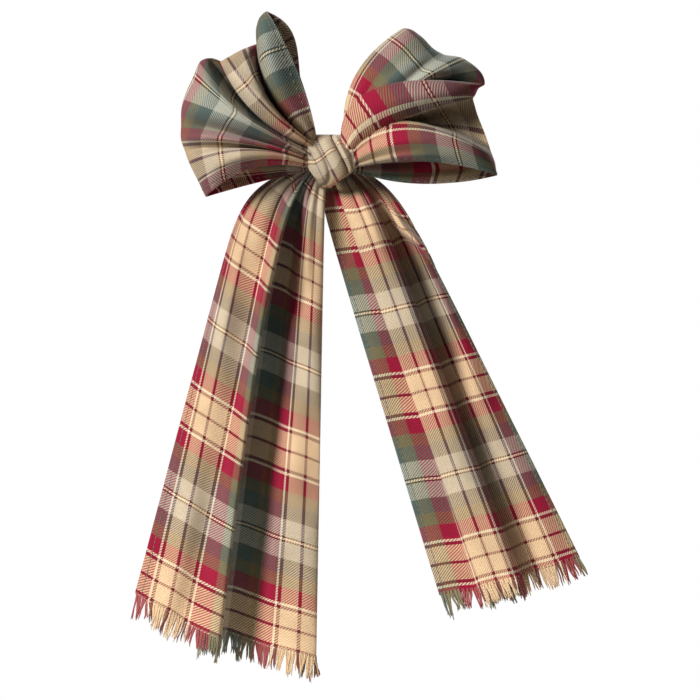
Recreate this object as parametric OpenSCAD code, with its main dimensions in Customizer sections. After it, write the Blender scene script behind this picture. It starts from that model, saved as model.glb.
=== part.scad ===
// Hair bow of brushed tartan cloth on a metal clasp, in millimetres, +Z up, front towards -Y.
// The origin is the middle of the gap that the hair goes through, between the clasp's arm and strip.

/* [Loops] */
// Height of the left loop's longest fold above the knot's side
left_reach = 79; // [64:1:96]
// Reach of the right loop's longest fold from the knot's side
right_reach = 81; // [64:1:98]
// How far the loops bulge to the front
loop_depth = 24; // [16:1:30]
// Cloth thickness with its brushed pile
cloth_t = 1.6; // [1:0.1:2]

/* [Knot] */
// Width of the knot band
knot_w = 25; // [20:1:30]
// Height of the knot
knot_h = 30; // [26:1:36]
// Thickness of the knot band
band_t = 1.2; // [0.8:0.1:1.4]

/* [Tails] */
// Length of the left tail, knot to hem
left_len = 268; // [180:1:330]
// Length of the right tail, knot to hem
right_len = 244; // [180:1:300]
// Width of the left tail at its hem
left_hem = 104; // [80:1:126]
// Width of the right tail at its hem
right_hem = 82; // [66:1:100]
// Depth of the tails' folds
fold_depth = 7; // [3:0.5:9]
// Length of the frayed yarns
fringe_len = 12; // [6:1:18]

/* [Clasp] */
// Length of the clasp's plate
clasp_len = 88; // [72:1:106]
// Width of the clasp's plate
clasp_w = 9; // [8.2:0.1:11]
// Gap for the hair
hair_gap = 4.6; // [4.2:0.1:6]

/* [Hidden] */
$fn = 48;

tartan = [0.72, 0.66, 0.55];
thread_grey = [0.25, 0.24, 0.2];
steel = [0.72, 0.73, 0.75];

// clasp: the plate bows forward, the strip and the arm bow less
plate_t = 0.8;
strip_t = 0.4;
arm_t = 0.7;
end_x = clasp_len / 2;
tab_x = end_x - 11;
strip_front = -hair_gap / 2 - strip_t;
plate_bow = 0.084 * tab_x + 0.9;
plate_r = (tab_x * tab_x + plate_bow * plate_bow) / (2 * plate_bow);
plate_front = strip_front - 3.6;
tab_front = plate_front + plate_bow;
tab_back = tab_front + plate_t;
strip_x = tab_x + 0.8;
strip_rise = tab_back + 0.12 - strip_front;
strip_r = (strip_x * strip_x + strip_rise * strip_rise) / (2 * strip_rise);
arm_x = end_x - 6;
arm_rise = 1.9;
arm_r = ((arm_x - 4) * (arm_x - 4) + arm_rise * arm_rise) / (2 * arm_rise);
arm_half_w = clasp_w / 2 - 1.5;
pin_r = 0.8;
pin_gap = 0.05;
pin_x = -(end_x - 4);
pin_y = hair_gap / 2 + arm_rise + arm_t / 2;
ear_t = 0.7;
ear_z = clasp_w / 2 - ear_t;
catch_x = end_x - 7;
arm_end_y = pin_y - arm_t / 2;
foot_t = 0.5;
leaf_t = 0.5;
leaf_w = 4;
leaf_z = 1.55;
leaf_pivot_y = tab_back + foot_t + 0.35;
window_z = 2.1;
tab_out = clasp_w / 2 + 2;

// knot: the band goes round the waists and the plate
band_back = plate_front + plate_t + 2.3;
band_front = band_back - knot_w * 0.94;
band_mid = (band_back + band_front) / 2;
loop_y = band_front + 8.9;
waist_r = knot_h * 0.18;
tail_y = plate_front - 1.2;
mouth_x = knot_w / 2 + 1;

// ---- cloth ----
function mix(a, b, t) = a + (b - a) * t;
function clamp01(t) = min(1, max(0, t));
function ease(t) = let (c = clamp01(t)) c * c * (3 - 2 * c);
function bump(x) = exp(-x * x);
function unit(v) = v / norm(v);
function power(x, n) = sign(x) * pow(abs(x), n);

function grid_normal(g, i, j) =
  let (
    a = g[min(i + 1, len(g) - 1)][j] - g[max(i - 1, 0)][j],
    b = g[i][min(j + 1, len(g[0]) - 1)] - g[i][max(j - 1, 0)]
  )
  unit(cross(a, b));

// a sheet of cloth of thickness t about a grid of points
module cloth(g, t) {
  ni = len(g);
  nj = len(g[0]);
  n = ni * nj;
  front = [for (i = [0:ni - 1], j = [0:nj - 1]) g[i][j] + grid_normal(g, i, j) * t / 2];
  back = [for (i = [0:ni - 1], j = [0:nj - 1]) g[i][j] - grid_normal(g, i, j) * t / 2];
  faces = [
    for (i = [0:ni - 2], j = [0:nj - 2])
      let (k = i * nj + j)
        each [
          [k, k + nj + 1, k + nj],
          [k, k + 1, k + nj + 1],
          [k + n, k + nj + n, k + nj + 1 + n],
          [k + n, k + nj + 1 + n, k + 1 + n],
        ],
    for (i = [0:ni - 2])
      let (a = i * nj, b = i * nj + nj - 1)
        each [
          [a, a + nj, a + nj + n],
          [a, a + nj + n, a + n],
          [b + nj, b, b + n],
          [b + nj, b + n, b + nj + n],
        ],
    for (j = [0:nj - 2])
      let (a = j, b = (ni - 1) * nj + j)
        each [
          [a + 1, a, a + n],
          [a + 1, a + n, a + 1 + n],
          [b, b + 1, b + 1 + n],
          [b, b + 1 + n, b + n],
        ],
  ];
  polyhedron(points = concat(front, back), faces = faces, convexity = 10);
}

// ---- loops: ribs that fan out from the knot's side, over a rounded fold and back ----
function left_fold(a) = left_reach * (mix(0.74, 0.98, ease((a + 23) / 60))
  - 0.17 * bump((a - 64) / 7) + 0.05 * bump((a - 75) / 6));
function right_fold(a) = right_reach * (0.97 - 0.10 * bump((a - 14) / 9)
  - 0.12 * bump((a - 47) / 6) - 0.02 * bump((a - 70) / 8));

function loop_point(side, a, reach, u, v, ripple) =
  let (
    out = (1 - cos(360 * u)) / 2,
    swell = sin(360 * u) * pow(out, 0.25),
    back = u > 0.5,
    root = [side * mouth_x, mix(-0.19, 0.37, v) * knot_h],
    tip = [side * (mouth_x + reach * cos(a)), 0.1 * knot_h + reach * sin(a)],
    p = mix(root, tip, out),
    wave = ripple * sin(360 * 2.5 * v) * out * (1 - out) * 4
  )
  [p[0], loop_y + (back ? -swell * 5 : -swell * loop_depth - wave), p[1]];

module loop_shell(side, a0, a1, from_angle) {
  u0 = 0.07;
  cloth([
    for (i = [0:28])
      [for (j = [0:20])
        let (v = j / 20, a = mix(a0, a1, v))
          loop_point(side, a, from_angle(a), mix(u0, 1 - u0, i / 28), v, 3)]
  ], cloth_t);
}

module left_loop() {
  color(tartan) loop_shell(-1, -23, 84, function(a) left_fold(a));
}

module right_loop() {
  color(tartan) loop_shell(1, -10, 78, function(a) right_fold(a));
}

// ---- tails: folded strips that flare from the knot, with an inner edge and a slanted hem ----
function tail_width(hem, t) =
  let (root = 0.52 * knot_w)
  root + (hem / 2 - root) * (1 - exp(-9 * t)) + hem / 2 * t;

// s runs from the inner edge (0) to the outer edge (1), t from the knot (0) to the hem (1)
function tail_point(side, start, lean, tilt, len, hem, turn, s, t) =
  let (
    d = mix(knot_h / 2 + cloth_t / 2 + 2.2, len, t),
    w = tail_width(hem, t) * s,
    up = tilt * ease(t * 3),
    amp = mix(1.2, fold_depth, ease((t - 0.08) / 0.4)),
    mid = tail_y - turn * 1.6 - fold_depth * 0.7 * ease((t - 0.08) / 0.3)
  )
  [
    start + side * (d * sin(lean) + w * cos(up)),
    mid - turn * amp * cos(540 * s),
    -d * cos(lean) + w * sin(up),
  ];

function tail_normal(side, start, lean, tilt, len, hem, turn, s, t) =
  let (
    e = 0.004,
    a = tail_point(side, start, lean, tilt, len, hem, turn, s, t + e)
      - tail_point(side, start, lean, tilt, len, hem, turn, s, t - e),
    b = tail_point(side, start, lean, tilt, len, hem, turn, s + e, t)
      - tail_point(side, start, lean, tilt, len, hem, turn, s - e, t),
    n = unit(cross(a, b))
  )
  n[1] > 0 ? -n : n;

module tail_sheet(side, start, lean, tilt, len, hem, turn) {
  cloth([
    for (i = [0:26])
      [for (j = [0:26]) tail_point(side, start, lean, tilt, len, hem, turn, j / 26, i / 26)]
  ], cloth_t);
}

// frayed yarns: the sheet's surface runs on past the hem and ends in points
module tail_fringe(side, start, lean, tilt, len, hem, turn) {
  cloth([
    for (i = [0:2])
      [for (j = [0:52])
        let (cut = (i == 2 && j % 2 == 1) ? 0.3 : 0)
          tail_point(side, start, lean, tilt, len, hem, turn, j / 52, 1 + (0.4 + (i - cut) / 2 * fringe_len) / len)]
  ], cloth_t * 0.6);
}

// thread of the two long hems, just off the cloth's front
module tail_hem_thread(side, start, lean, tilt, len, hem, turn) {
  for (edge = [1, 25])
    cloth([
      for (i = [1:25])
        [for (k = [0, 1])
          let (s = (edge + (k - 0.5) * 0.12) / 26, t = i / 26)
            tail_point(side, start, lean, tilt, len, hem, turn, s, t)
              + tail_normal(side, start, lean, tilt, len, hem, turn, s, t) * (cloth_t / 2 + 0.45)]
    ], 0.3);
}

module left_tail() {
  color(tartan) tail_sheet(-1, -0.16 * knot_w, 0.8, 16, left_len, left_hem, 1);
}

module left_tail_fringe() {
  color(tartan) tail_fringe(-1, -0.16 * knot_w, 0.8, 16, left_len, left_hem, 1);
}

module left_tail_hem_thread() {
  color(thread_grey) tail_hem_thread(-1, -0.16 * knot_w, 0.8, 16, left_len, left_hem, 1);
}

module right_tail() {
  color(tartan) tail_sheet(1, -0.36 * knot_w, 15.5, 13.5, right_len, right_hem, -1);
}

module right_tail_fringe() {
  color(tartan) tail_fringe(1, -0.36 * knot_w, 15.5, 13.5, right_len, right_hem, -1);
}

module right_tail_hem_thread() {
  color(thread_grey) tail_hem_thread(1, -0.36 * knot_w, 15.5, 13.5, right_len, right_hem, -1);
}

// ---- knot ----
function band_point(turn, v) =
  let (
    c = power(cos(turn), 0.75),
    z = power(sin(turn), 0.75),
    half = (band_back - band_front) / 2 - band_t / 2,
    width = mix(1, 0.8, (1 + c) / 2)
  )
  [mix(-0.5, 0.5, v) * knot_w * width, band_mid + half * c, (knot_h - band_t) / 2 * z];

// the band starts and ends under the knot, with its seam there
module knot_wrap() {
  color(tartan)
    cloth([for (i = [0:44]) [for (j = [0:6]) band_point(mix(-88, 268.6, i / 44), j / 6)]], band_t);
}

module knot_seam_stitches() {
  seam = band_point(-89.7, 0.5);
  color(thread_grey)
    for (k = [-2:2])
      translate([k * knot_w * 0.14, seam[1], -knot_h / 2 - 0.45])
        rotate([90, 0, 0])
          cylinder(r = 0.35, h = 3.4, center = true, $fn = 16);
}

module loop_waist() {
  flare = waist_r * 1.4;
  color(tartan)
    translate([0, loop_y, 0])
      rotate([0, 90, 0])
        rotate_extrude()
          polygon([
            [0, -mouth_x + 1.3], [flare, -mouth_x + 1.3], [waist_r, -knot_w * 0.22],
            [waist_r, knot_w * 0.22], [flare, mouth_x - 1.3], [0, mouth_x - 1.3],
          ]);
}

// pinched middle of the tail strip, flat behind the loops' waist
waist_gap = 0.4;
tail_waist_front = loop_y + waist_r + waist_gap;
tail_waist_back = plate_front - 1.1;

module tail_waist() {
  deep = tail_waist_back - tail_waist_front;
  color(tartan)
    translate([0, tail_waist_front + deep / 2, 0]) {
      cube([knot_w * 0.42, deep, knot_h * 0.12], center = true);
      for (end = [-1, 1])
        translate([0, 0, end * knot_h * 0.06])
          rotate([0, 90, 0])
            cylinder(r = deep / 2, h = knot_w * 0.42, center = true);
    }
}

// three turns of thread round both waists
module gathering_thread() {
  thread_r = 0.35;
  around = waist_r + thread_r + 0.1;
  far = tail_waist_back + thread_r + 0.1;
  color(thread_grey)
    for (k = [-1:1])
      translate([k * 1.2, 0, 0]) {
        for (side = [-1, 1]) {
          translate([0, loop_y, side * around])
            rotate([-90, 0, 0])
              cylinder(r = thread_r, h = far - loop_y, $fn = 16);
          translate([0, far, side * around])
            sphere(r = thread_r, $fn = 16);
        }
        translate([0, far, -around])
          cylinder(r = thread_r, h = 2 * around, $fn = 16);
        translate([0, loop_y, 0])
          rotate([0, 90, 0])
            rotate([0, 0, 180])
              rotate_extrude(angle = 180)
                translate([around, 0])
                  circle(r = thread_r, $fn = 16);
      }
}

// ---- clasp ----
// a strip bent to radius r whose front is at y in the middle, from -x to x
module bowed_strip(r, x, y, t, w) {
  half = asin(x / r);
  translate([0, y + r, 0])
    rotate([0, 0, -90 - half])
      rotate_extrude(angle = 2 * half, $fn = 360)
        translate([r - t, -w / 2])
          square([t, w]);
}

// a plate of the same bend with flat ends that reach to lo and hi
module bowed_plate(r, x, y, t, w, lo, hi) {
  steps = 20;
  flat_y = y + r - sqrt(r * r - x * x);
  front = [
    [lo, flat_y],
    for (k = [-steps:steps]) let (px = x * k / steps) [px, y + r - sqrt(r * r - px * px)],
    [hi, flat_y],
  ];
  back = [for (k = [len(front) - 1:-1:0]) front[k] + [0, t]];
  linear_extrude(height = w, center = true)
    polygon(concat(front, back));
}

module ear(z) {
  translate([pin_x, 0, z]) {
    difference() {
      union() {
        translate([0, pin_y, 0])
          cylinder(r = 1.9, h = ear_t);
        translate([-1.7, tab_front + 0.3, 0])
          cube([3.4, pin_y - tab_front - 0.3, ear_t]);
      }
      translate([0, pin_y, -1])
        cylinder(r = pin_r, h = ear_t + 2);
    }
  }
}

// tongue folded over the strip's edge
module tongue(x, side) {
  wall = side > 0 ? arm_half_w + 0.1 : -arm_half_w - 0.6;
  lip = side > 0 ? arm_half_w - 1.1 : -arm_half_w - 0.6;
  translate([x - 1, tab_back - 0.7, wall])
    cube([2, 1.8, 0.5]);
  translate([x - 1, tab_back + 0.75, lip])
    cube([2, 0.35, 1.7]);
}

module barrette_base() {
  color(steel) {
    difference() {
      union() {
        bowed_plate(plate_r, tab_x, plate_front, plate_t, clasp_w, -end_x, end_x);
        ear(ear_z);
        ear(-clasp_w / 2);
        for (x = [1.2 - tab_x, tab_x - 1.2], side = [-1, 1])
          tongue(x, side);
      }
      translate([catch_x, tab_front - 1, 0])
        rotate([-90, 0, 0])
          cylinder(r = 0.9, h = plate_t + 2);
    }
  }
}

module tension_strip() {
  color(steel) bowed_strip(strip_r, strip_x, strip_front, strip_t, 2 * arm_half_w - 0.4);
}

module hinge_pin() {
  color(steel) {
    translate([pin_x, pin_y, -clasp_w / 2])
      cylinder(r = pin_r, h = clasp_w);
    for (z = [-clasp_w / 2 - 0.4, clasp_w / 2])
      translate([pin_x, pin_y, z])
        cylinder(r = 1.3, h = 0.4);
  }
}

module barrette_arm() {
  color(steel)
    difference() {
      union() {
        bowed_plate(arm_r, arm_x - 4, hair_gap / 2, arm_t, 2 * arm_half_w, pin_x, arm_x + 3.5);
        translate([pin_x, pin_y, -arm_half_w])
          cylinder(r = 1.5, h = 2 * arm_half_w);
      }
      translate([pin_x, pin_y, -clasp_w])
        cylinder(r = pin_r + pin_gap, h = 2 * clasp_w);
      translate([catch_x - leaf_w / 2 - 0.6, arm_end_y - 2, -window_z])
        cube([leaf_w + 1.2, arm_t + 4, 2 * window_z]);
    }
}

module catch_foot() {
  color(steel)
    difference() {
      translate([catch_x - 2.2, tab_back, -2.6])
        cube([4.4, foot_t, 5.2]);
      translate([catch_x, tab_back - 1, 0])
        rotate([-90, 0, 0])
          cylinder(r = 0.9, h = 3);
    }
}

module catch_rivet() {
  color(steel)
    translate([catch_x, 0, 0])
      rotate([-90, 0, 0]) {
        translate([0, 0, tab_front])
          cylinder(r = 0.9, h = plate_t + foot_t);
        translate([0, 0, tab_front - 0.5])
          cylinder(r = 1.5, h = 0.5);
        translate([0, 0, tab_back + foot_t])
          cylinder(r = 1.1, h = 0.3);
      }
}

// a leaf stands on a round bend, carries a thumb tab and ends in a hook that fits the arm's window
module leaf(side) {
  top = arm_end_y + arm_t + 1.3;
  scale_z = side;
  translate([catch_x - leaf_w / 2, 0, 0])
    mirror([0, 0, scale_z > 0 ? 0 : 1]) {
      translate([0, leaf_pivot_y, leaf_z])
        rotate([0, 90, 0])
          cylinder(r = 0.3, h = leaf_w);
      translate([0, leaf_pivot_y, leaf_z - leaf_t / 2])
        cube([leaf_w, top - leaf_pivot_y, leaf_t]);
      translate([0, arm_end_y + arm_t + 0.3, leaf_z])
        cube([leaf_w, 0.6, window_z - 0.06 - leaf_z]);
      translate([0.4, leaf_pivot_y + 0.9, leaf_z])
        cube([leaf_w - 0.8, 0.5, tab_out - leaf_z]);
    }
}

module catch_leaf_upper() {
  color(steel) leaf(1);
}

module catch_leaf_lower() {
  color(steel) leaf(-1);
}

knot_wrap();
left_loop();
right_loop();
loop_waist();
left_tail();
right_tail();
tail_waist();
left_tail_fringe();
right_tail_fringe();
left_tail_hem_thread();
right_tail_hem_thread();
gathering_thread();
knot_seam_stitches();
barrette_base();
tension_strip();
hinge_pin();
barrette_arm();
catch_foot();
catch_rivet();
catch_leaf_upper();
catch_leaf_lower();
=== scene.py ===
"""Hair bow: two soft loops, a pleated knot and two long fringed tails of twill tartan on a steel clasp."""

import logging
import math
import random
from dataclasses import dataclass, fields
from enum import Enum
from typing import Any, Callable

import bmesh
import bpy
import numpy as np
from mathutils import Matrix, Vector


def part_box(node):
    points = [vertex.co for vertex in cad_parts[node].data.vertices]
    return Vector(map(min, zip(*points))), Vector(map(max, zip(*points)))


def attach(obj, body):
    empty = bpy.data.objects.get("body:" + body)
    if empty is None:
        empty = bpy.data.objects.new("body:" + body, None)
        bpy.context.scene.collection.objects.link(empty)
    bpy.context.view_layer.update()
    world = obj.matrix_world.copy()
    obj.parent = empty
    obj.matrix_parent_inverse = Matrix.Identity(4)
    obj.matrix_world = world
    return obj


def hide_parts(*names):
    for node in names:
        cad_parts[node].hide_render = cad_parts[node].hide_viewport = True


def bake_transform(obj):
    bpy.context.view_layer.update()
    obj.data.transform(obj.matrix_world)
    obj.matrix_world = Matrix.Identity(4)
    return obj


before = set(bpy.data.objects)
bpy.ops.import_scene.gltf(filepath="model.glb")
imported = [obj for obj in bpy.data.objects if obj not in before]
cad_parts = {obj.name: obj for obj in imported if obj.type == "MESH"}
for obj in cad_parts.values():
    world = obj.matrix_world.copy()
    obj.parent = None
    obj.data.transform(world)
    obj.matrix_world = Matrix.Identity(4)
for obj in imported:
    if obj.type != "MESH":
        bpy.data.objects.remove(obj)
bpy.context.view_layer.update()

log = logging.getLogger("hair_bow")

MM = 0.001
STRIP_WIDTH = 118.0


class Side(Enum):
    """Which way a loop goes from the knot, with the bow seen from the front."""

    LEFT = -1
    RIGHT = 1


class Held(Enum):
    """How a piece of cloth is held."""

    GATHERED = "gathered"
    FOLDED = "folded"


class Yarn(Enum):
    """Dyed yarns of the tartan, as sRGB hex values."""

    CREAM = "#F0DDBB"
    TAN = "#E2BF96"
    CRIMSON = "#980E32"
    BURGUNDY = "#700A20"
    GREEN = "#52605A"
    OLIVE = "#736A4C"
    SAGE = "#B2B2A2"
    DARK = "#26251E"
    THREAD = "#8C8674"


@dataclass(frozen=True)
class Band:
    """One stripe of the sett: its yarn, and its width in mm across the warp and along the weft."""

    yarn: Yarn
    warp: float
    weft: float


# Half a sett, from the burgundy line in the tan stripe out to the cream line in the sage one.
HALF_SETT = (
    Band(Yarn.BURGUNDY, 0.6, 0.7),
    Band(Yarn.TAN, 7.0, 9.2),
    Band(Yarn.BURGUNDY, 1.4, 1.9),
    Band(Yarn.CREAM, 0.9, 1.5),
    Band(Yarn.CRIMSON, 6.8, 8.5),
    Band(Yarn.OLIVE, 5.5, 6.9),
    Band(Yarn.GREEN, 6.8, 8.6),
    Band(Yarn.SAGE, 6.4, 9.2),
    Band(Yarn.DARK, 1.0, 0.9),
    Band(Yarn.CREAM, 0.5, 0.6),
)


def linear(hex_value: str) -> tuple[float, float, float, float]:
    """Turn an sRGB hex value into a linear colour.

    Args:
        hex_value: colour as #RRGGBB.

    Returns:
        The linear red, green, blue and alpha.
    """
    parts = [int(hex_value[i : i + 2], 16) / 255 for i in (1, 3, 5)]
    red, green, blue = (p / 12.92 if p <= 0.04045 else ((p + 0.055) / 1.055) ** 2.4 for p in parts)
    return red, green, blue, 1.0


def add_node(tree: bpy.types.NodeTree, kind: str, inputs: dict | None = None, **settings: Any) -> Any:
    """Add one node with its settings and its links.

    Args:
        tree: node tree that takes the node.
        kind: the node's type name.
        inputs: socket name or number, to a value or to the output socket that feeds it.
        settings: the node's own properties.

    Returns:
        The new node.
    """
    made = tree.nodes.new(kind)
    for key, value in settings.items():
        setattr(made, key, value)
    for socket, value in (inputs or {}).items():
        if isinstance(value, bpy.types.NodeSocket):
            tree.links.new(value, made.inputs[socket])
        else:
            made.inputs[socket].default_value = value
    return made


def blank_material(name: str) -> tuple[bpy.types.Material, bpy.types.NodeTree]:
    """Make an empty node material.

    Args:
        name: the material's name.

    Returns:
        The material and its cleared node tree.
    """
    material = bpy.data.materials.new(name)
    material.use_nodes = True
    material.node_tree.nodes.clear()
    return material, material.node_tree


@dataclass(frozen=True)
class WovenTartan:
    """Brushed cotton twill, yarn dyed: both sets of yarn show, in fine diagonal ribs, with a soft bloom."""

    name: str = "yarn_dyed_cotton_twill"
    # Real ribs are about 1 mm apart; 1.15 mm along the weft is as fine as shows. They climb as 27 in 20.
    rib: float = 1.15
    climb: float = 1.35
    roughness: float = 0.86
    sheen: float = 0.15
    crossed: bool = True
    # How far loose fibres pale the yarn.
    pale: float = 0.0

    def stripes(self, tree: bpy.types.NodeTree, place: Any, widths: list[float]) -> Any:
        """Colour one set of yarns from where it lies in the sett.

        Args:
            tree: the material's tree.
            place: output socket with the distance in mm from a burgundy line.
            widths: each band's width in mm.

        Returns:
            The colour output socket.
        """
        half = sum(widths)
        folded = add_node(tree, "ShaderNodeMath", {0: place, 1: half}, operation="PINGPONG")
        share = add_node(tree, "ShaderNodeMath", {0: folded.outputs[0], 1: half}, operation="DIVIDE")
        ramp = add_node(tree, "ShaderNodeValToRGB", {"Fac": share.outputs[0]})
        ramp.color_ramp.interpolation = "CONSTANT"
        ramp.color_ramp.elements.remove(ramp.color_ramp.elements[1])
        start = 0.0
        for number, (band, width) in enumerate(zip(HALF_SETT, widths)):
            elements = ramp.color_ramp.elements
            stop = elements[0] if number == 0 else elements.new(start / half)
            stop.color = linear(band.yarn.value)
            start += width
        return ramp.outputs["Color"]

    def make(self) -> bpy.types.Material:
        """Build the material.

        Returns:
            The finished material.
        """
        material, tree = blank_material(self.name)
        uv = add_node(tree, "ShaderNodeUVMap", uv_map="cloth")
        millimetres = add_node(
            tree, "ShaderNodeVectorMath", {0: uv.outputs[0], "Scale": 1 / MM}, operation="SCALE"
        )
        split = add_node(tree, "ShaderNodeSeparateXYZ", {0: millimetres.outputs[0]})
        warp = self.stripes(tree, split.outputs[0], [band.warp for band in HALF_SETT])
        climb = add_node(
            tree, "ShaderNodeMath", {0: split.outputs[1], 1: 1 / self.climb}, operation="MULTIPLY"
        )
        across = add_node(
            tree, "ShaderNodeMath", {0: split.outputs[0], 1: climb.outputs[0]}, operation="SUBTRACT"
        )
        turns = add_node(
            tree, "ShaderNodeMath", {0: across.outputs[0], 1: math.tau / self.rib}, operation="MULTIPLY"
        )
        wave = add_node(tree, "ShaderNodeMath", {0: turns.outputs[0]}, operation="SINE")
        colour = warp
        if self.crossed:
            weft = self.stripes(tree, split.outputs[1], [band.weft for band in HALF_SETT])
            rib = add_node(
                tree, "ShaderNodeMapRange", {0: wave.outputs[0], 1: -0.7, 2: 0.7, 3: 0.16, 4: 0.84}
            )
            crossing = add_node(
                tree, "ShaderNodeMix", {0: rib.outputs[0], 6: warp, 7: weft}, data_type="RGBA"
            )
            colour = crossing.outputs[2]
        if self.pale > 0:
            fibres = linear(Yarn.CREAM.value)
            frayed = add_node(tree, "ShaderNodeMix", {0: self.pale, 6: colour, 7: fibres}, data_type="RGBA")
            colour = frayed.outputs[2]
        # Dye and pile vary a little from yarn to yarn and from patch to patch.
        patch = add_node(
            tree, "ShaderNodeTexNoise", {"Vector": millimetres.outputs[0], "Scale": 0.045, "Detail": 3.0}
        )
        fibre = add_node(
            tree, "ShaderNodeTexNoise", {"Vector": millimetres.outputs[0], "Scale": 1.1, "Detail": 2.0}
        )
        both = add_node(
            tree, "ShaderNodeMath", {0: patch.outputs[0], 1: fibre.outputs[0]}, operation="ADD"
        )
        shade = add_node(tree, "ShaderNodeMapRange", {0: both.outputs[0], 1: 0.6, 2: 1.4, 3: 0.8, 4: 1.2})
        # Painted shade: the colour is darkened in the gaps between the ribs.
        rib_gap_painted_shade = add_node(tree, "ShaderNodeMapRange", {0: wave.outputs[0], 1: -1.0, 2: 0.2, 3: 0.86, 4: 1.02})
        # The random dye and pile tone, times the painted rib shade.
        depth = add_node(
            tree, "ShaderNodeMath", {0: shade.outputs[0], 1: rib_gap_painted_shade.outputs[0]}, operation="MULTIPLY"
        )
        # The base colour, with the painted rib shade in it.
        colour_with_painted_rib_shade = add_node(
            tree, "ShaderNodeVectorMath", {0: colour, "Scale": depth.outputs[0]}, operation="SCALE"
        )
        relief = {0: fibre.outputs[0], 1: 0.9, 2: wave.outputs[0]}
        height = add_node(tree, "ShaderNodeMath", relief, operation="MULTIPLY_ADD")
        bump = add_node(
            tree, "ShaderNodeBump", {"Height": height.outputs[0], "Strength": 0.3, "Distance": 0.0003}
        )
        shader = add_node(
            tree,
            "ShaderNodeBsdfPrincipled",
            {
                "Base Color": colour_with_painted_rib_shade.outputs[0],
                "Normal": bump.outputs[0],
                "Roughness": self.roughness,
                "Specular IOR Level": 0.2,
                "Sheen Weight": self.sheen,
                "Sheen Roughness": 0.5,
            },
        )
        add_node(tree, "ShaderNodeOutputMaterial", {0: shader.outputs[0]})
        return material


@dataclass(frozen=True)
class SewingThread:
    """Spun polyester thread: a matt, slightly mottled strand with its twist in the bump."""

    name: str = "spun_polyester_thread"
    roughness: float = 0.7

    def make(self) -> bpy.types.Material:
        """Build the material.

        Returns:
            The finished material.
        """
        material, tree = blank_material(self.name)
        place = add_node(tree, "ShaderNodeTexCoord")
        twist = add_node(
            tree,
            "ShaderNodeTexWave",
            {"Vector": place.outputs["Object"], "Scale": 900.0, "Distortion": 1.5},
            bands_direction="DIAGONAL",
        )
        ramp = add_node(tree, "ShaderNodeValToRGB", {"Fac": twist.outputs["Fac"]})
        ramp.color_ramp.elements[0].color = linear("#6E695A")
        ramp.color_ramp.elements[1].color = linear(Yarn.THREAD.value)
        bump = add_node(
            tree, "ShaderNodeBump", {"Height": twist.outputs["Fac"], "Strength": 0.4, "Distance": 0.0001}
        )
        shader = add_node(
            tree,
            "ShaderNodeBsdfPrincipled",
            {"Base Color": ramp.outputs[0], "Normal": bump.outputs[0], "Roughness": self.roughness},
        )
        add_node(tree, "ShaderNodeOutputMaterial", {0: shader.outputs[0]})
        return material


@dataclass(frozen=True)
class PlatedSteel:
    """Nickel plated spring steel, brushed along its length: a bright, streaked, slightly warm metal."""

    name: str = "nickel_plated_spring_steel"
    colour: str = "#C9C5BC"
    # Real brush lines are about 0.05 mm; 0.4 mm is as fine as shows.
    brush: float = 0.4

    def make(self) -> bpy.types.Material:
        """Build the material.

        Returns:
            The finished material.
        """
        material, tree = blank_material(self.name)
        place = add_node(tree, "ShaderNodeTexCoord")
        stretched = add_node(
            tree, "ShaderNodeMapping", {"Vector": place.outputs["Object"], "Scale": (0.03, 1.0, 1.0)}
        )
        lines = add_node(
            tree,
            "ShaderNodeTexNoise",
            {"Vector": stretched.outputs[0], "Scale": 1 / (self.brush * MM), "Detail": 3.0},
        )
        smudge = add_node(
            tree, "ShaderNodeTexNoise", {"Vector": place.outputs["Object"], "Scale": 60.0, "Detail": 2.0}
        )
        both = add_node(tree, "ShaderNodeMath", {0: lines.outputs[0], 1: smudge.outputs[0]}, operation="ADD")
        rough = add_node(tree, "ShaderNodeMapRange", {0: both.outputs[0], 1: 0.7, 2: 1.3, 3: 0.2, 4: 0.42})
        tone = add_node(tree, "ShaderNodeMapRange", {0: lines.outputs[0], 1: 0.3, 2: 0.7, 3: 0.88, 4: 1.06})
        colour = add_node(
            tree,
            "ShaderNodeVectorMath",
            {0: linear(self.colour)[:3], "Scale": tone.outputs[0]},
            operation="SCALE",
        )
        bump = add_node(
            tree, "ShaderNodeBump", {"Height": lines.outputs[0], "Strength": 0.12, "Distance": 0.0001}
        )
        shader = add_node(
            tree,
            "ShaderNodeBsdfPrincipled",
            {
                "Base Color": colour.outputs[0],
                "Metallic": 1.0,
                "Roughness": rough.outputs[0],
                "Normal": bump.outputs[0],
            },
        )
        add_node(tree, "ShaderNodeOutputMaterial", {0: shader.outputs[0]})
        return material


@dataclass(frozen=True)
class StudioPaper:
    """Matt white paper sweep with a faint tooth."""

    name: str = "matt_studio_paper"

    def make(self) -> bpy.types.Material:
        """Build the material.

        Returns:
            The finished material.
        """
        material, tree = blank_material(self.name)
        place = add_node(tree, "ShaderNodeTexCoord")
        tooth = add_node(tree, "ShaderNodeTexNoise", {"Vector": place.outputs["Object"], "Scale": 300.0})
        bump = add_node(
            tree, "ShaderNodeBump", {"Height": tooth.outputs[0], "Strength": 0.05, "Distance": 0.0005}
        )
        shader = add_node(
            tree,
            "ShaderNodeBsdfPrincipled",
            {"Base Color": linear("#F4F3F0"), "Roughness": 0.95, "Normal": bump.outputs[0]},
        )
        add_node(tree, "ShaderNodeOutputMaterial", {0: shader.outputs[0]})
        return material


def ease(t: np.ndarray) -> np.ndarray:
    """Smooth 0 to 1 step of t, flat at both ends."""
    held = np.clip(t, 0.0, 1.0)
    return held * held * (3 - 2 * held)


def mix(a: Any, b: Any, t: Any) -> Any:
    """Value a share t of the way from a to b."""
    return a + (b - a) * t


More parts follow.
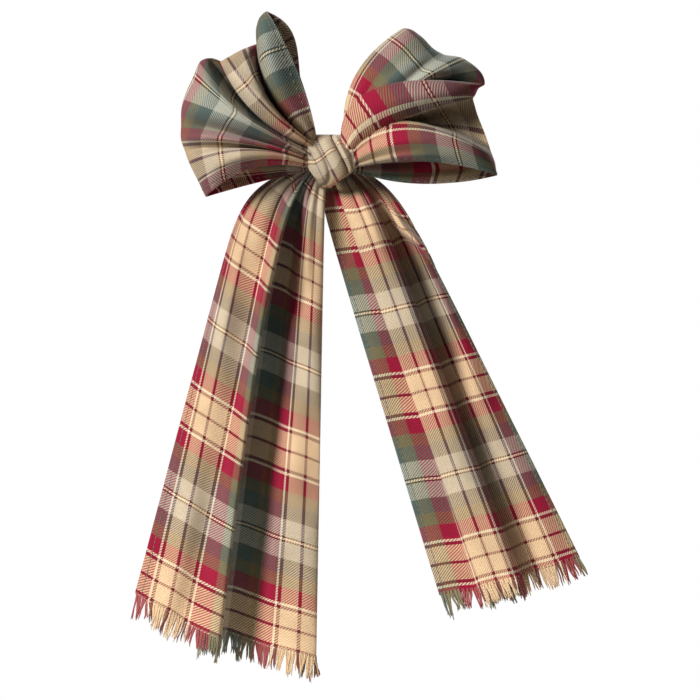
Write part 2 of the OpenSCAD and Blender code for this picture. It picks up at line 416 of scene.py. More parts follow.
def smooth_through(places: np.ndarray, values: np.ndarray, at: np.ndarray) -> np.ndarray:
    """Read a monotone cubic curve through some values, so that folds are rounded and never overshoot.

    Args:
        places: increasing places of the values.
        values: the value at each place.
        at: where to read the curve.

    Returns:
        The curve's values.
    """
    step = np.diff(places)
    slope = np.diff(values) / step
    tangent = np.zeros_like(values)
    before, after = slope[:-1], slope[1:]
    same = before * after > 0
    weight = (2 * step[1:] + step[:-1])[same], (step[1:] + 2 * step[:-1])[same]
    inner = np.zeros_like(before)
    inner[same] = (weight[0] + weight[1]) / (weight[0] / before[same] + weight[1] / after[same])
    tangent[1:-1] = inner
    tangent[0], tangent[-1] = slope[0], slope[-1]
    k = np.clip(np.searchsorted(places, at, side="right") - 1, 0, len(step) - 1)
    t = (at - places[k]) / step[k]
    return (
        (1 + 2 * t) * (1 - t) ** 2 * values[k]
        + t * (1 - t) ** 2 * step[k] * tangent[k]
        + t * t * (3 - 2 * t) * values[k + 1]
        + t * t * (t - 1) * step[k] * tangent[k + 1]
    )


def wrinkles(across: np.ndarray, along: np.ndarray, seed: int, wide: float, long: float) -> np.ndarray:
    """Small uneven waves of handled cloth, from -1 to 1.

    Args:
        across: place across the cloth in mm.
        along: place along the cloth in mm.
        seed: picks the waves.
        wide: usual spacing of the waves across the cloth in mm.
        long: usual length of the waves along the cloth in mm.

    Returns:
        The height of the waves.
    """
    pick = random.Random(seed)
    total = np.zeros(np.broadcast(across, along).shape)
    for _ in range(5):
        a = math.tau / (wide * pick.uniform(0.7, 1.5))
        b = math.tau / (long * pick.uniform(0.7, 1.5)) * pick.choice((-1, 1))
        total = total + np.sin(across * a + along * b + pick.uniform(0, math.tau))
    return total / 3.2


def finish_mesh(bm: bmesh.types.BMesh, name: str, material: bpy.types.Material) -> bpy.types.Object:
    """Turn a bmesh into a smooth shaded object of one material.

    Args:
        bm: the mesh, in metres, which is freed.
        name: the piece's name.
        material: its finish.

    Returns:
        The new object, at the origin.
    """
    mesh = bpy.data.meshes.new(name)
    bm.to_mesh(mesh)
    bm.free()
    for polygon in mesh.polygons:
        polygon.use_smooth = True
    mesh.materials.append(material)
    piece = bpy.data.objects.new(name, mesh)
    bpy.context.scene.collection.objects.link(piece)
    return piece


def folds_at(folds: tuple, across: np.ndarray) -> dict[str, np.ndarray]:
    """Read every size of a run of folds at places across the cloth.

    Args:
        folds: fold dataclasses in order across the cloth, each with a cloth field.
        across: places across the cloth in mm.

    Returns:
        Each size's name, to its smooth values at those places.
    """
    places = np.array([fold.cloth for fold in folds], dtype=float)
    sizes = {}
    for size in fields(folds[0]):
        values = np.array([getattr(fold, size.name) for fold in folds], dtype=float)
        sizes[size.name] = smooth_through(places, values, across)
    return sizes


@dataclass
class ClothPiece:
    """A strip of the tartan: a grid of the cloth, each point placed by the piece's own folds."""

    name: str
    columns: int
    rows: int
    # Where the sett's burgundy lines lie, across the strip and along it from its measured end.
    warp_line: float
    weft_line: float
    thickness: float = 0.8
    measured_from_end: bool = False
    # Share along the strip past which its lines even out to one length, as cloth that has eased straight.
    evens_from: float = 1.0
    # How far sideways, in mm, the weft evens out between neighbouring folds.
    eased: float = 0.0
    width: float = STRIP_WIDTH

    def at(self, across: np.ndarray, along: np.ndarray) -> np.ndarray:
        """Place points of the cloth.

        Args:
            across: places across the strip in mm.
            along: shares along the strip, from 0 to 1.

        Returns:
            The points in mm, with a last axis of three.
        """
        raise NotImplementedError

    def spread(self) -> tuple[np.ndarray, np.ndarray]:
        """Work out the whole grid and its measured cloth coordinates.

        Returns:
            The points in mm and, for each, its distance across and along the cloth from a burgundy line.
        """
        across, along = np.meshgrid(
            np.linspace(0, self.width, self.columns + 1), np.linspace(0, 1, self.rows + 1), indexing="ij"
        )
        points = self.at(across, along)
        steps = np.linalg.norm(np.diff(points, axis=1), axis=2)
        run = np.concatenate([np.zeros((self.columns + 1, 1)), np.cumsum(steps, axis=1)], axis=1)
        if self.eased > 0:
            pull = np.exp(-(((across[:, :1] - across[:, :1].T) / self.eased) ** 2))
            run = pull @ run / pull.sum(axis=1, keepdims=True)
        if self.evens_from < 1:
            late = ease((along - self.evens_from) / (1 - self.evens_from))
            run = run - late * (run[:, -1:] - run[:, -1:].mean())
        if self.measured_from_end:
            run = run[:, -1:] - run
        return points, np.stack([across - self.warp_line, run - self.weft_line], axis=2)

    def build(self, material: bpy.types.Material) -> bpy.types.Object:
        """Make the piece's mesh and give it its thickness.

        Args:
            material: the cloth's finish.

        Returns:
            The piece.
        """
        points, cloth = self.spread()
        bm = bmesh.new()
        bmesh.ops.create_grid(bm, x_segments=self.columns, y_segments=self.rows, size=0.5)
        places = {
            v: (round((v.co.x + 0.5) * self.columns), round((v.co.y + 0.5) * self.rows)) for v in bm.verts
        }
        uv = bm.loops.layers.uv.new("cloth")
        for face in bm.faces:
            for loop in face.loops:
                loop[uv].uv = cloth[places[loop.vert]] * MM
        for v, place in places.items():
            v.co = points[place] * MM
        piece = finish_mesh(bm, self.name, material)
        wall = piece.modifiers.new("cloth", "SOLIDIFY")
        wall.thickness = self.thickness * MM
        wall.offset = 0
        return piece

    def facing(self, across: float, along: float) -> tuple[Vector, Vector, Vector]:
        """Find one point of the cloth with its directions.

        Args:
            across: place across the strip in mm.
            along: share along the strip.

        Returns:
            The point in mm, the direction along the strip and the outward normal on its front.
        """
        nudge = 0.004
        spots = self.at(
            np.array([across, across, across + 0.5, across - 0.5]),
            np.array([along - nudge, along + nudge, along, along]),
        )
        before, beyond, right, left = (Vector(spot) for spot in spots)
        lie = (beyond - before).normalized()
        return (before + beyond) / 2, lie, lie.cross(right - left).normalized()

    def flat_length(self) -> float:
        """Mean length of the strip in mm, laid flat."""
        points, _ = self.spread()
        return float(np.linalg.norm(np.diff(points, axis=1), axis=2).sum(axis=1).mean())


@dataclass(frozen=True)
class LoopFold:
    """One line of a loop's cloth, from the knot out to the soft fold at the loop's end.

    cloth is its place across the strip in mm, angle the way it goes in degrees above level, reach how
    far it goes in mm, bow how far its middle rises off a straight line, lead the share of the way at
    which it does so most, bow_back and lead_back the same for the layer behind, and proud how far it
    stands forward.
    """

    cloth: float
    angle: float
    reach: float
    bow: float
    proud: float
    lead: float = 0.5
    bow_back: float = 0.0
    lead_back: float = 0.5


# These angles and reaches follow an outline that another program had printed.
LEFT_LOOP_FOLDS = (
    LoopFold(0, -22, 60, 9, 12, bow_back=1),
    LoopFold(4, -15, 61, 9, 19, bow_back=1),
    LoopFold(8, -11, 62, 8, 22, bow_back=1),
    LoopFold(15, -3, 65, 7, 23, bow_back=2),
    LoopFold(20, 2, 67, 5, 10, bow_back=2),
    LoopFold(26, 8, 70, 4, 24, bow_back=2),
    LoopFold(32, 13, 71, 3, 13, bow_back=2),
    LoopFold(42, 22, 74, 2, 27),
    LoopFold(51, 35, 76, -4, 31),
    LoopFold(60, 41, 78, -7, 21, bow_back=-4),
    LoopFold(67, 45, 75, -7, -5, bow_back=-4),
    LoopFold(77, 47, 70, -8, -6, bow_back=-4),
    LoopFold(82, 47, 70, -8, 17, bow_back=-4),
    LoopFold(89, 51, 69, -4, 28, bow_back=-2),
    LoopFold(96, 58, 68, -6, 24, bow_back=-2),
    LoopFold(102, 65, 67, -9, -2, bow_back=-2),
    LoopFold(107, 68, 75, -9, 14, bow_back=0),
    LoopFold(112, 71, 80, -5, 22, bow_back=3, lead_back=0.7),
    LoopFold(118, 74, 82, 4, 18, bow_back=9, lead_back=0.78),
)

RIGHT_LOOP_FOLDS = (
    LoopFold(0, -8, 78, 6, 15, bow_back=-6),
    LoopFold(5, -6, 77, 8, 23, bow_back=-5),
    LoopFold(12, -3, 76, 13, 28, 0.42, -3),
    LoopFold(17, -1, 75, 17, 26, 0.38, 0),
    LoopFold(21, 1, 74, 21, 20, 0.32, 4),
    LoopFold(25, 7, 72, 15, -5, 0.38, 6),
    LoopFold(31, 19, 70, 9, -6, 0.38, 6),
    LoopFold(34, 26, 71, 7, 17, 0.33, 6),
    LoopFold(38, 27, 73, 18, 32, 0.33, 6),
    LoopFold(42, 29, 77, 26, 26, 0.33, 8),
    LoopFold(47, 29, 80, 25, 4, 0.35, 8),
    LoopFold(54, 33, 82, 16, 12, 0.4, 8),
    LoopFold(64, 42, 79, 6, 22, bow_back=6),
    LoopFold(70, 49, 73, 4, 20, bow_back=4),
    LoopFold(77, 54, 72, 6, 22, bow_back=4),
    LoopFold(83, 61, 74, 7, 19, bow_back=4),
    LoopFold(88, 66, 75, 9, 14, bow_back=5),
    LoopFold(99, 70, 73, 12, 1, bow_back=7),
    LoopFold(118, 66, 66, 9, -7, bow_back=6),
)


@dataclass
class Loop(ClothPiece):
    """One loop of the bow: the strip runs out from the knot, turns in a soft fold and comes back behind."""

    side: Side = Side.LEFT
    folds: tuple = LEFT_LOOP_FOLDS
    root: float = 8.0
    mouth: float = 13.0
    mouth_high: float = 3.0
    centre: float = -20.0
    # Shares of a full turn at which the strip leaves the knot in front and comes back to it behind.
    turn_from: float = 0.03
    turn_to: float = 0.97
    # How deep the layer behind goes.
    deep: float = 8.5
    # Heights of the strip's two edges where it leaves the knot.
    root_low: float = -4.5
    root_high: float = 10.5
    # Height of the cloth's uneven waves, and the height, spacing and fading length of the gathers.
    crumpled: float = 2.2
    gathered: float = 2.3
    gather_pitch: float = 8.5
    gather_fade: float = 20.0
    evens_from: float = 0.42
    eased: float = 9.0
    seed: int = 3

    def at(self, across: np.ndarray, along: np.ndarray) -> np.ndarray:
        """Place points of the loop.

        Args:
            across: places across the strip in mm.
            along: shares along the strip, from the front of the mouth to the back of it.

        Returns:
            The points in mm.
        """
        fold = folds_at(self.folds, across)
        share = across / self.width
        turn = mix(self.turn_from, self.turn_to, along) * math.tau
        out = (1 - np.cos(turn)) / 2
        front = np.sin(turn) > 0
        angle = np.radians(fold["angle"])
        reach = fold["reach"]
        lead = np.where(front, fold["lead"], fold["lead_back"])
        peak = out ** (math.log(0.5) / np.log(lead))
        bow = np.where(front, fold["bow"], fold["bow_back"]) * 4 * peak * (1 - peak)
        swell = np.sin(turn) * out**0.25
        crumple = wrinkles(across, out * reach, self.seed, 13, 70) * np.sqrt(out * (1 - out)) * self.crumpled
        pleats = self.gathered * np.sin(across * math.tau / self.gather_pitch)
        gather = pleats * np.exp(-out * reach / self.gather_fade) * ease(out * 9)
        depth = np.where(front, fold["proud"] * swell + crumple + gather, self.deep * swell + crumple * 0.5)
        x = mix(self.root, self.mouth + reach * np.cos(angle), out) - bow * np.sin(angle)
        root_z = mix(self.root_low, self.root_high, share)
        z = mix(root_z, self.mouth_high + reach * np.sin(angle), out) + bow * np.cos(angle)
        return np.stack([self.side.value * x, self.centre - depth, z], axis=-1)


@dataclass(frozen=True)
class TailFold:
    """One line of a tail's cloth, from the knot down to the fringe.

    cloth is its place across the strip in mm, shoulder how far to the side it lies just under the knot,
    hem how far at the fringe, drop how far down its hem is, high how far forward it stands near the
    knot, low the same lower down, and bow how far it strays sideways in between.
    """

    cloth: float
    shoulder: float
    hem: float
    drop: float
    high: float
    low: float
    bow: float = 0.0


LEFT_TAIL_FOLDS = (
    TailFold(0, -45, -108, 237, 0, 0),
    TailFold(6, -43, -99, 242, 5, 4),
    TailFold(15, -38, -89, 247, 11, 9),
    TailFold(23, -27, -80, 253, 9, 7),
    TailFold(30, -20, -69, 258, 18, 14, -4),
    TailFold(35, -14, -62, 261, 22, 18, -8),
    TailFold(38, -13, -61, 262, 12, 10, -8),
    TailFold(46, -23, -72, 259, -2, -2, -8),
    TailFold(51, -22, -71, 258, -6, -6, -8),
    TailFold(56, -18, -62, 258, -7.5, -7.5, -6),
    TailFold(68, -16, -47, 262, -6, -5),
    TailFold(77, -13, -35, 266, 4, 4),
    TailFold(88, -8, -19, 270, 8, 7),
    TailFold(96, -4, -9, 273, 6, 5),
    TailFold(99, -4, -9, 273, 2, 1),
    TailFold(107, -8, -14, 271, -1, -1),
    TailFold(118, -11, -18, 270, -1, -1),
)

RIGHT_TAIL_FOLDS = (
    TailFold(0, -13, 59, 238, 1, 1),
    TailFold(7, -6, 69, 236, 0, 4),
    TailFold(13, 4, 79, 235, -1, 5),
    TailFold(18, -3, 83, 233, 12, 9),
    TailFold(24, 5, 90, 231, 23, 13),
    TailFold(33, 12, 99, 229, 24, 15),
    TailFold(38, 15, 104, 228, 13, 8),
    TailFold(41, 14, 103, 228, 1, 1),
    TailFold(53, 10, 96, 230, -3, -2),
    TailFold(66, 1, 84, 232, -4.5, -4.5),
    TailFold(80, 10, 95, 230, -7, -7),
    TailFold(90, 15, 102, 229, -7, -7),
    TailFold(97, 21, 111, 225, -5, -2),
    TailFold(107, 26, 124, 221, 3, 3),
    TailFold(118, 28, 136, 217, 1, 1),
)


@dataclass
class Tail(ClothPiece):
    """One tail of the bow: a long folded strip that spreads below the knot and ends in a fringe."""

    folds: tuple = LEFT_TAIL_FOLDS
    neck: float = -3.0
    layer: float = -10.5
    spread_in: float = 10.0
    # How far down the folds start to stand out, over what length, and where they reach their lower height.
    hang_from: float = 5.0
    hang_over: float = 42.0
    settled: float = 130.0
    # Height, spacing and fading length of the gathers below the knot.
    gathered: float = 1.5
    gather_pitch: float = 9.0
    gather_fade: float = 34.0
    # Heights of the cloth's small and broad waves.
    crumpled: float = 1.1
    rippled: float = 0.8
    # Height of the short fold that crosses the strip's outer edge just below the knot, and its place.
    crossing: float = 0.0
    crossing_drop: float = 40.0
    crossing_lean: float = 0.8
    crossing_across: float = 104.0
    crossing_from: float = 94.0
    seed: int = 5

    def at(self, across: np.ndarray, along: np.ndarray) -> np.ndarray:
        """Place points of the tail.

        Args:
            across: places across the strip in mm.
            along: shares along the strip, from the knot to the hem; a share past 1 is beyond the hem.

        Returns:
            The points in mm.
        """
        fold = folds_at(self.folds, across)
        share = across / self.width
        drop = along * fold["drop"]
        full = 1 - np.exp(-drop / self.spread_in)
        hang = ease((drop - self.hang_from) / self.hang_over)
        x = mix(self.neck + 6 * (share - 0.5), fold["shoulder"], full)
        x = x + (fold["hem"] - fold["shoulder"]) * along
        x = x + fold["bow"] * np.sin(math.pi * np.clip(along, 0, 1) ** 0.6)
        proud = mix(fold["high"], fold["low"], ease(drop / self.settled)) * hang
        pleats = self.gathered * np.sin(across * math.tau / self.gather_pitch)
        gather = pleats * np.exp(-drop / self.gather_fade) * ease(drop / 8)
        crumple = wrinkles(across, drop, self.seed, 24, 110) * self.crumpled * hang
        ripple = wrinkles(across, drop, self.seed + 1, 60, 48) * self.rippled * hang
        below = drop - self.crossing_drop - self.crossing_lean * (across - self.crossing_across)
        ridge = np.exp(-((below / np.where(below > 0, 3, 8)) ** 2))
        crossing = self.crossing * ridge * ease((across - self.crossing_from) / 9)
        return np.stack([x, self.layer - proud - gather - crumple - ripple - crossing, -drop], axis=-1)


@dataclass
class KnotBand(ClothPiece):
    """The band round the middle: a short strip in slanting pleats, narrow under the knot."""

    width: float = 29.0
    half_wide: float = 12.8
    half_high: float = 14.2
    front: float = -26.8
    back: float = -3.6
    pleat_lean: float = 0.5
    # Where the band starts and ends round the knot, in degrees from straight back.
    turn_from: float = -88.0
    turn_to: float = 268.6
    # Half its width where it is pinched under the knot, how far down the pinch starts, and over what height.
    pinched_wide: float = 3.2
    pinch_from: float = 3.0
    pinch_over: float = 11.5
    # Each tuck's place, and how much cloth it hides: near a whole repeat, so that the tan stripe comes back.
    tucks: tuple[tuple[float, float], ...] = ((-16.5, 60.0), (-0.4, 65.5), (5.6, 67.5))
    # Each pleat's place across the band's top, how far it stands out or dips in, and its half width.
    creases: tuple[tuple[float, float, float], ...] = (
        (-10.5, -1.4, 1.5),
        (-4.5, 0.8, 2.6),
        (-0.4, -2.4, 1.1),
        (1.8, 1.5, 1.5),
        (5.6, -2.0, 1.0),
        (7.8, 1.3, 1.4),
    )

    def at(self, across: np.ndarray, along: np.ndarray) -> np.ndarray:
        """Place points of the band.

        Args:
            across: places across the band in mm.
            along: shares round the band, from under the knot over the back, the top and the front.

        Returns:
            The points in mm.
        """
        turn = np.radians(mix(self.turn_from, self.turn_to, along))
        c, s = np.cos(turn), np.sin(turn)
        y_share, z_share = np.sign(c) * np.abs(c) ** 0.85, np.sign(s) * np.abs(s) ** 0.95
        facing = np.clip(-c, 0, 1)
        z = self.half_high * z_share
        pinch = ease((-z - self.pinch_from) / self.pinch_over) * ease((0.85 - c) * 2.2)
        taper = 1 - 0.1 * ease(z / self.half_high)
        share = across / self.width - 0.5
        tilt = 1.6 * share * facing
        half = mix(self.half_wide * taper, self.pinched_wide, pinch)
        x = mix(-0.3, -3.4, pinch) - 1.4 * ease(z / 14) + 2 * share * half
        lean = self.pleat_lean * (self.half_high - z) * facing
        edge = ease((0.5 - np.abs(share)) * 9)
        pleats = sum(
            deep * np.exp(-(((x - place - lean) / wide) ** 2))
            for place, deep, wide in self.creases
        )
        swell = 2.0 * np.cos(share * math.pi) * facing + pleats * ease(facing * 2.2) * edge
        y = mix(self.front, self.back, (1 + y_share) / 2) - swell
        return np.stack([x, y, z + 0.6 * swell * s * facing - tilt], axis=-1)

    def spread(self) -> tuple[np.ndarray, np.ndarray]:
        """Work out the grid, with the cloth turned so that its warp runs along the slanting pleats.

        Returns:
            The points in mm and, for each, its distance across and along the cloth from a burgundy line.
        """
        points, cloth = super().spread()
        beside = points[..., 0] - self.pleat_lean * (self.half_high - points[..., 2])
        drift = self.pleat_lean * points[..., 0]
        hidden = sum(cloth_hidden * ease((beside - place) / 0.8 + 0.5) for place, cloth_hidden in self.tucks)
        return points, np.stack([beside - self.warp_line + hidden, cloth[..., 1] + drift], axis=2)


@dataclass
class PinchedWaist(ClothPiece):
    """The middle of a strip drawn up by the gathering thread into a flat stack of pleats."""

    node: str = ""
    pleats: int = 12
    # Share of its solid's box that the stack fills, and how far it narrows in the middle.
    fill: float = 0.86
    narrowed: float = 0.72

    def at(self, across: np.ndarray, along: np.ndarray) -> np.ndarray:
        """Place points of the pleated stack, inside its solid's box.

        Args:
            across: places across the strip in mm.
            along: shares along the strip, from left to right.

        Returns:
            The points in mm.
        """
        low, high = (np.array(corner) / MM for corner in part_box(self.node))
        middle, half = (low + high) / 2, (high - low) / 2
        share = across / self.width
        pinch = mix(1.0, self.narrowed, np.sin(along * math.pi))
        z = middle[2] + half[2] * self.fill * (2 * share - 1) * pinch
        room = np.sqrt(np.clip(1.05 - (2 * share - 1) ** 2, 0.05, 1))
        y = middle[1] + half[1] * self.fill * np.sin(share * self.pleats * math.tau) * pinch * room
        return np.stack([mix(low[0] + 0.3, high[0] - 0.3, along), y, z], axis=-1)


@dataclass
class RunningStitch:
    """A line of machine stitches that holds a narrow hem, sunk a little into the cloth."""

    name: str
    lines: tuple[float, ...] = (2.2, STRIP_WIDTH - 2.2)
    pitch: float = 3.0
    stitch: float = 2.1
    radius: float = 0.2
    start: float = 0.02
    end: float = 0.99

    def build(self, cloth: ClothPiece, material: bpy.types.Material) -> bpy.types.Object:
        """Sew the stitches along a piece of cloth, on both of its faces.

        Args:
            cloth: the piece that carries them.
            material: the thread's finish.

        Returns:
            The stitches, as one piece.
        """
        bm = bmesh.new()
        count = max(1, int(cloth.flat_length() * (self.end - self.start) / self.pitch))
        for line in self.lines:
            for number in range(count):
                share = mix(self.start, self.end, (number + 0.5) / count)
                spot, lie, out = cloth.facing(line, share)
                turn = lie.to_track_quat("Z", "Y").to_matrix().to_4x4()
                for face in (-1, 1):
                    place = spot + out * face * (cloth.thickness / 2 + self.radius * 0.4)
                    bmesh.ops.create_cone(
                        bm,
                        cap_ends=True,
                        segments=6,
                        radius1=self.radius * MM,
                        radius2=self.radius * MM,
                        depth=self.stitch * MM,
                        matrix=Matrix.Translation(place * MM) @ turn,
                    )
        return finish_mesh(bm, self.name, material)


@dataclass
class Fringe:
    """Warp yarns left free below the hem, drawn together in small uneven tufts."""

    name: str
    length: float = 14.5
    spacing: float = 0.45
    tuft: float = 3.8
    radius: float = 0.5
    seed: int = 11

    def yarn(self, bm: bmesh.types.BMesh, path: list[Vector]) -> None:
        """Draw one closed, tapering yarn along a path.

        Args:
            bm: mesh that takes the yarn.
            path: points in mm.
        """
        lie = (path[1] - path[0]).normalized().to_track_quat("Z", "Y").to_matrix().to_4x4()
        place = Matrix.Translation(path[0] * MM) @ lie
        ring = bmesh.ops.create_circle(
            bm, cap_ends=True, segments=5, radius=self.radius * MM, matrix=place
        )["verts"]
        edges = list({edge for v in ring for edge in v.link_edges})
        for number, (here, there) in enumerate(zip(path, path[1:]), 1):
            grown = bmesh.ops.extrude_edge_only(bm, edges=edges)["geom"]
            ring = [item for item in grown if isinstance(item, bmesh.types.BMVert)]
            grown_edges = [item for item in grown if isinstance(item, bmesh.types.BMEdge)]
            edges = [edge for edge in grown_edges if all(v in ring for v in edge.verts)]
            taper = 0.95 if number < len(path) - 1 else 0.6
            for v in ring:
                v.co = there * MM + (v.co - here * MM) * taper ** (number / 3)
        bmesh.ops.contextual_create(bm, geom=edges)

    def build(self, cloth: Tail, material: bpy.types.Material) -> bpy.types.Object:
        """Hang the yarns from a tail's hem.

        Args:
            cloth: the tail.
            material: the yarns' finish.

        Returns:
            The fringe, as one piece.
        """
        pick = random.Random(self.seed)
        bm = bmesh.new()
        uv = bm.loops.layers.uv.new("cloth")
        count = int(cloth.width / self.spacing)
        tufts: dict[int, tuple[float, float, float]] = {}
        for number in range(count):
            across = mix(0.5, cloth.width - 0.5, number / (count - 1))
            tuft = int(across / self.tuft)
            if tuft not in tufts:
                tufts[tuft] = (pick.uniform(-0.9, 0.9), pick.uniform(-0.8, 0.8), pick.uniform(0.78, 1.1))
            lean, push, long = tufts[tuft]
            spot, lie, out = cloth.facing(across, 0.996)
            side = out.cross(lie)
            draw = ((tuft + 0.5) * self.tuft - across) * 0.5
            reach = self.length * long * pick.uniform(0.82, 1.04)
            curl = pick.uniform(-1.1, 1.1)
            path = []
            for step in range(6):
                t = step / 5
                sideways = (draw + lean * 1.8) * ease(t) + curl * t * t + 0.25 * math.sin(t * 7 + number)
                forward = push * 2 * t * t + 0.25 * math.sin(number * 2.1)
                path.append(spot + lie * (reach * t - 0.6) + side * float(sideways) + out * forward)
            first = len(bm.faces)
            self.yarn(bm, path)
            bm.faces.ensure_lookup_table()
            for face in bm.faces[first:]:
                for loop in face.loops:
                    loop[uv].uv = ((across - cloth.warp_line) * MM, loop.vert.co.z)
        bmesh.ops.recalc_face_normals(bm, faces=bm.faces)
        return finish_mesh(bm, self.name, material)


@dataclass(frozen=True)
class Lamp:
    """A soft square light: its place and side in metres, and its power in watts."""

    name: str
    place: tuple[float, float, float]
    size: float
    power: float


@dataclass
class Studio:
    """Pale paper floor, soft lights and a long lens square to the bow's front."""

    distance: float = 4.0
    view_width: float = 0.385
    centre_x: float = 0.0099
    centre_z: float = -0.1034
    floor_z: float = -0.316
    floor_radius: float = 0.40
    sensor_width: float = 36.0
    # How bright the room is as a light on cloth, as seen by the camera, and as metal mirrors it.
    room_light: float = 0.025
    room_seen: float = 1.0
    room_mirrored: float = 0.7
    lamps: tuple[Lamp, ...] = (
        Lamp("key", (-1.75, -1.6, 0.95), 0.8, 84),
        Lamp("fill", (0.5, -2.6, 1.2), 1.0, 3),
        Lamp("rear", (0.6, 1.6, 0.9), 1.0, 28),
    )

    def camera(self) -> None:
        """Place the camera in front of the bow."""
        lens = bpy.data.cameras.new("camera")
        lens.sensor_width = self.sensor_width
        lens.lens = self.sensor_width * self.distance / self.view_width
        eye = bpy.data.objects.new("camera", lens)
        eye.location = (self.centre_x, -self.distance, self.centre_z)
        eye.rotation_euler = (math.pi / 2, 0, 0)
        bpy.context.scene.collection.objects.link(eye)
        bpy.context.scene.camera = eye

    def hang(self, lamp: Lamp) -> None:
        """Hang a lamp so that it faces the bow.

        Args:
            lamp: the lamp.
        """
        light = bpy.data.lights.new(lamp.name, "AREA")
        light.size = lamp.size
        light.energy = lamp.power
        holder = bpy.data.objects.new(lamp.name, light)
        holder.location = lamp.place
        aim = Vector((self.centre_x, 0, self.centre_z)) - Vector(lamp.place)
        holder.rotation_euler = aim.to_track_quat("-Z", "Y").to_euler()
        bpy.context.scene.collection.objects.link(holder)

    def build(self) -> None:
        """Set the floor, the lights and the white surroundings."""
        bm = bmesh.new()
        bmesh.ops.create_circle(
            bm,
            cap_ends=True,
            segments=96,
            radius=self.floor_radius,
            matrix=Matrix.Translation((self.centre_x, 0, self.floor_z)),
        )
        finish_mesh(bm, "paper_floor", StudioPaper().make())
        for lamp in self.lamps:
            self.hang(lamp)
        world = bpy.data.worlds.new("white_room")
        world.use_nodes = True
        tree = world.node_tree
        tree.nodes.clear()
        ray = add_node(tree, "ShaderNodeLightPath")
        shown = {0: ray.outputs["Is Camera Ray"], 3: self.room_light, 4: self.room_seen}
        seen = add_node(tree, "ShaderNodeMapRange", shown)
        # Metal mirrors the white room, while the cloth's folds stay in shade.
        glossy = {0: ray.outputs["Is Glossy Ray"], 1: self.room_mirrored}
        mirrored = add_node(tree, "ShaderNodeMath", glossy, operation="MULTIPLY")
        bright = add_node(
            tree, "ShaderNodeMath", {0: seen.outputs[0], 1: mirrored.outputs[0]}, operation="MAXIMUM"
        )
        glow = add_node(tree, "ShaderNodeBackground", {"Color": (1, 1, 1, 1), "Strength": bright.outputs[0]})
        add_node(tree, "ShaderNodeOutputWorld", {0: glow.outputs[0]})
        bpy.context.scene.world = world
        bpy.context.scene.view_settings.view_transform = "Standard"


@dataclass
class Clasp:
    """The spring clasp behind the bow, kept from the model and given its plating."""

    nodes: tuple[str, ...] = (
        "barrette_base",
        "tension_strip",
        "hinge_pin",
        "barrette_arm",
        "catch_foot",
        "catch_rivet",
        "catch_leaf_upper",
        "catch_leaf_lower",
    )

    def dress(self, material: bpy.types.Material) -> None:
        """Put the plating on each part of the clasp."""
        dress_nodes(self.nodes, material)


def dress_nodes(names: tuple[str, ...], material: bpy.types.Material) -> None:
    """Give some nodes of the model a finish.

    Args:
        names: the nodes.
        material: their finish.
    """
    for name in names:
        node = bpy.data.objects[name]
        node.data.materials.clear()
        node.data.materials.append(material)
        log.info("%s dressed as %s", name, material.name)


def declare(piece: bpy.types.Object, cloth: ClothPiece) -> None:
    """Log how large the strip of a piece of cloth was cut.

    Args:
        piece: the finished piece.
        cloth: the strip it was made from.
    """
    flat = (cloth.width * MM, cloth.flat_length() * MM)
    log.info("%s cut %.0f x %.0f mm", piece.name, flat[0] / MM, flat[1] / MM)


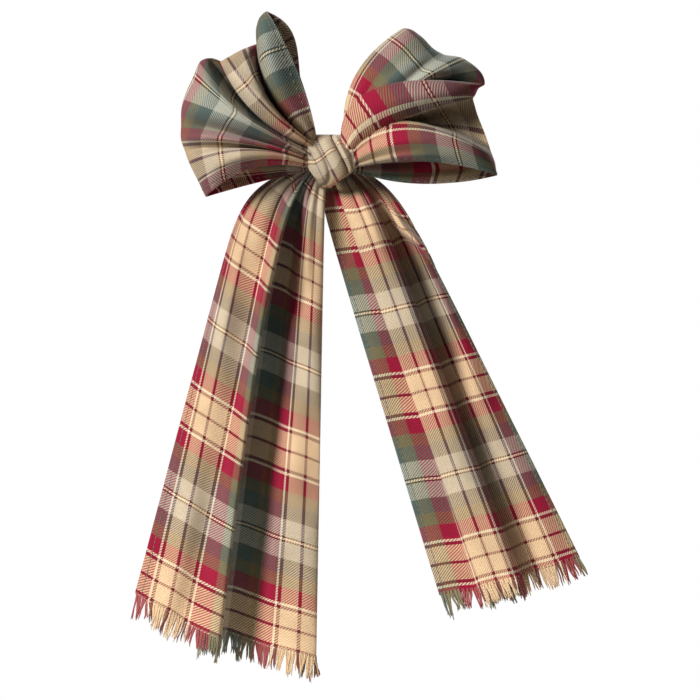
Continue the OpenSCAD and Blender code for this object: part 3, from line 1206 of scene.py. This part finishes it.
@dataclass
class Bow:
    """The whole bow: loops, tails, knot and waists, each of its own strip of the tartan."""

    twill: bpy.types.Material
    yarns: bpy.types.Material
    thread: bpy.types.Material

    def loops(self) -> None:
        """Make the two loops with their hem stitches."""
        left = Loop("left_loop_cloth", 170, 120, 14.5, 9)
        right = Loop(
            "right_loop_cloth", 170, 120, 27, 19, side=Side.RIGHT, folds=RIGHT_LOOP_FOLDS, seed=8
        )
        for loop, node in ((left, "left_loop"), (right, "right_loop")):
            piece = loop.build(self.twill)
            stitches = RunningStitch(f"{node}_stitches", start=0.06, end=0.94).build(loop, self.thread)
            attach(piece, "bow")
            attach(stitches, "bow")
            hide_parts(node)
            declare(piece, loop)

    def tails(self) -> None:
        """Make the two tails, each with its hem stitches and its fringe."""
        left = Tail("left_tail_cloth", 150, 220, 14.5, 12.5, measured_from_end=True)
        right = Tail(
            "right_tail_cloth",
            150,
            200,
            24.5,
            16.7,
            measured_from_end=True,
            folds=RIGHT_TAIL_FOLDS,
            neck=2.0,
            layer=-7.5,
            crossing=12.0,
            seed=17,
        )
        for tail, side in ((left, "left_tail"), (right, "right_tail")):
            body = f"{side}_body"
            piece = tail.build(self.twill)
            stitches = RunningStitch(f"{side}_stitches", start=0.05).build(tail, self.thread)
            fringe = Fringe(f"{side}_fringe_yarns", seed=tail.seed).build(tail, self.yarns)
            for blended in (piece, stitches):
                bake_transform(blended)
            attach(fringe, body)
            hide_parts(side)
            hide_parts(f"{side}_hem_thread")
            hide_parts(f"{side}_fringe")
            declare(piece, tail)

    def knot(self) -> None:
        """Make the knot's band and the pinched waists inside it."""
        band = KnotBand("knot_band_cloth", 110, 160, 50.6, 11.0, thickness=0.9)
        waists = (
            PinchedWaist("loop_waist_pleats", 160, 24, 14.5, 0, thickness=0.25, node="loop_waist", pleats=7),
            PinchedWaist("tail_waist_pleats", 320, 10, 14.5, 0, thickness=0.2, node="tail_waist", pleats=22),
        )
        for cloth, node in ((band, "knot_wrap"), (waists[0], "loop_waist"), (waists[1], "tail_waist")):
            piece = cloth.build(self.twill)
            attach(piece, "bow")
            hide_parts(node)
            if cloth is band:
                rows = (4, 9.2, 14.5, 19.8, 25)
                seam = RunningStitch("knot_seam", lines=rows, stitch=3.2, start=0.004, end=0.036)
                stitches = seam.build(band, self.thread)
                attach(stitches, "bow")
                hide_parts("knot_seam_stitches")
                declare(piece, cloth)
            else:
                declare(piece, cloth)

    def build(self) -> None:
        """Make every piece of cloth and dress the threads."""
        steps: tuple[Callable[[], None], ...] = (self.loops, self.tails, self.knot)
        for step in steps:
            step()
            log.info("%s made", step.__name__)
        dress_nodes(("gathering_thread",), self.thread)


def main() -> None:
    """Build the studio, the clasp and the bow."""
    logging.basicConfig(level=logging.INFO, format="%(name)s: %(message)s")
    studio = Studio()
    studio.camera()
    studio.build()
    Clasp().dress(PlatedSteel().make())
    Bow(
        twill=WovenTartan().make(),
        yarns=WovenTartan(name="loose_warp_yarn", crossed=False, roughness=0.9, pale=0.12).make(),
        thread=SewingThread().make(),
    ).build()


if __name__ == "__main__":
    main()
